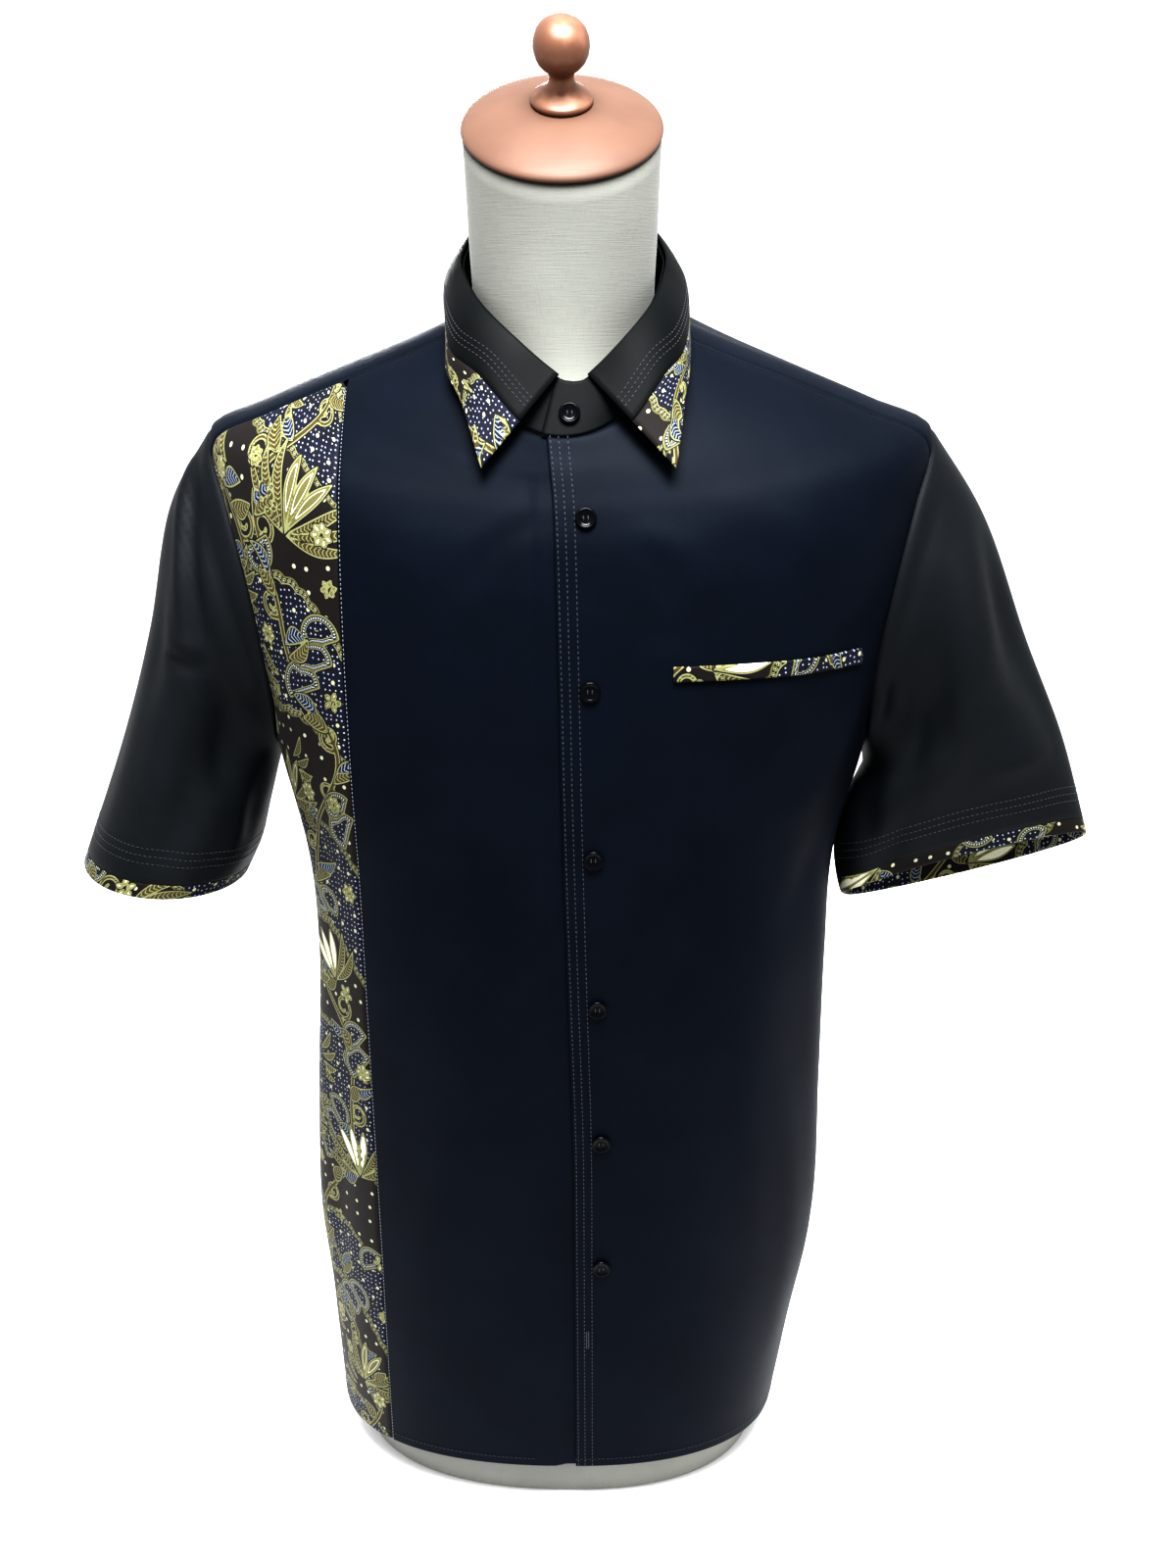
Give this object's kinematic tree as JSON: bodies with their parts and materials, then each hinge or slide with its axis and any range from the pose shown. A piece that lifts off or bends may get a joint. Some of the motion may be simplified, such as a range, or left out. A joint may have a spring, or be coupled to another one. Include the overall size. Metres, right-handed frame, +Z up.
{
  "type": "short-sleeved batik shirt on a limbless dress form",
  "caption": "Short-sleeved button-front shirt, dark cloth with patterned side panel, sleeve bands, collar edges and pocket welt, worn by a limbless dress form that stands on its flat base.",
  "frame": {"origin": "on the flat underside of the dress form, on the line of the shirt's shoulder ridge, in the middle between the shoulder points", "axes": "+Z up; -Y is the shirt's front; +X is the wearer's left"},
  "size_m": [0.6505, 0.2386, 0.933],
  "materials": {
    "navy_cotton": "very dark navy cotton, close plain weave with a faint sheen",
    "batik_cotton": "batik cotton, dark ground with dots, scrolls, leaves and flowers in olive, gold, cream and blue",
    "button_plastic": "glossy very dark navy, four holes",
    "linen": "grey-white linen stretched over the form",
    "rose_gold": "brushed rose-gold metal, soft gloss",
    "dark_metal": "dark bronze lacquer"
  },
  "bodies": {
    "root": {"front_left": "navy_cotton", "front_right": "navy_cotton", "side_front_right": "batik_cotton", "back": "navy_cotton", "yoke": "navy_cotton", "sleeve_left": "navy_cotton", "sleeve_right": "navy_cotton", "sleeve_band_left": "batik_cotton", "sleeve_band_right": "batik_cotton", "collar_fall": "navy_cotton", "collar_band": "batik_cotton", "collar_stand": "navy_cotton", "pocket_welt": "batik_cotton", "button_collar": "button_plastic", "button_1": "button_plastic", "button_2": "button_plastic", "button_3": "button_plastic", "button_4": "button_plastic", "button_5": "button_plastic", "button_6": "button_plastic", "form_torso": "linen", "neck_cap": "rose_gold", "neck_finial": "dark_metal"}
  },
  "joints": []
}
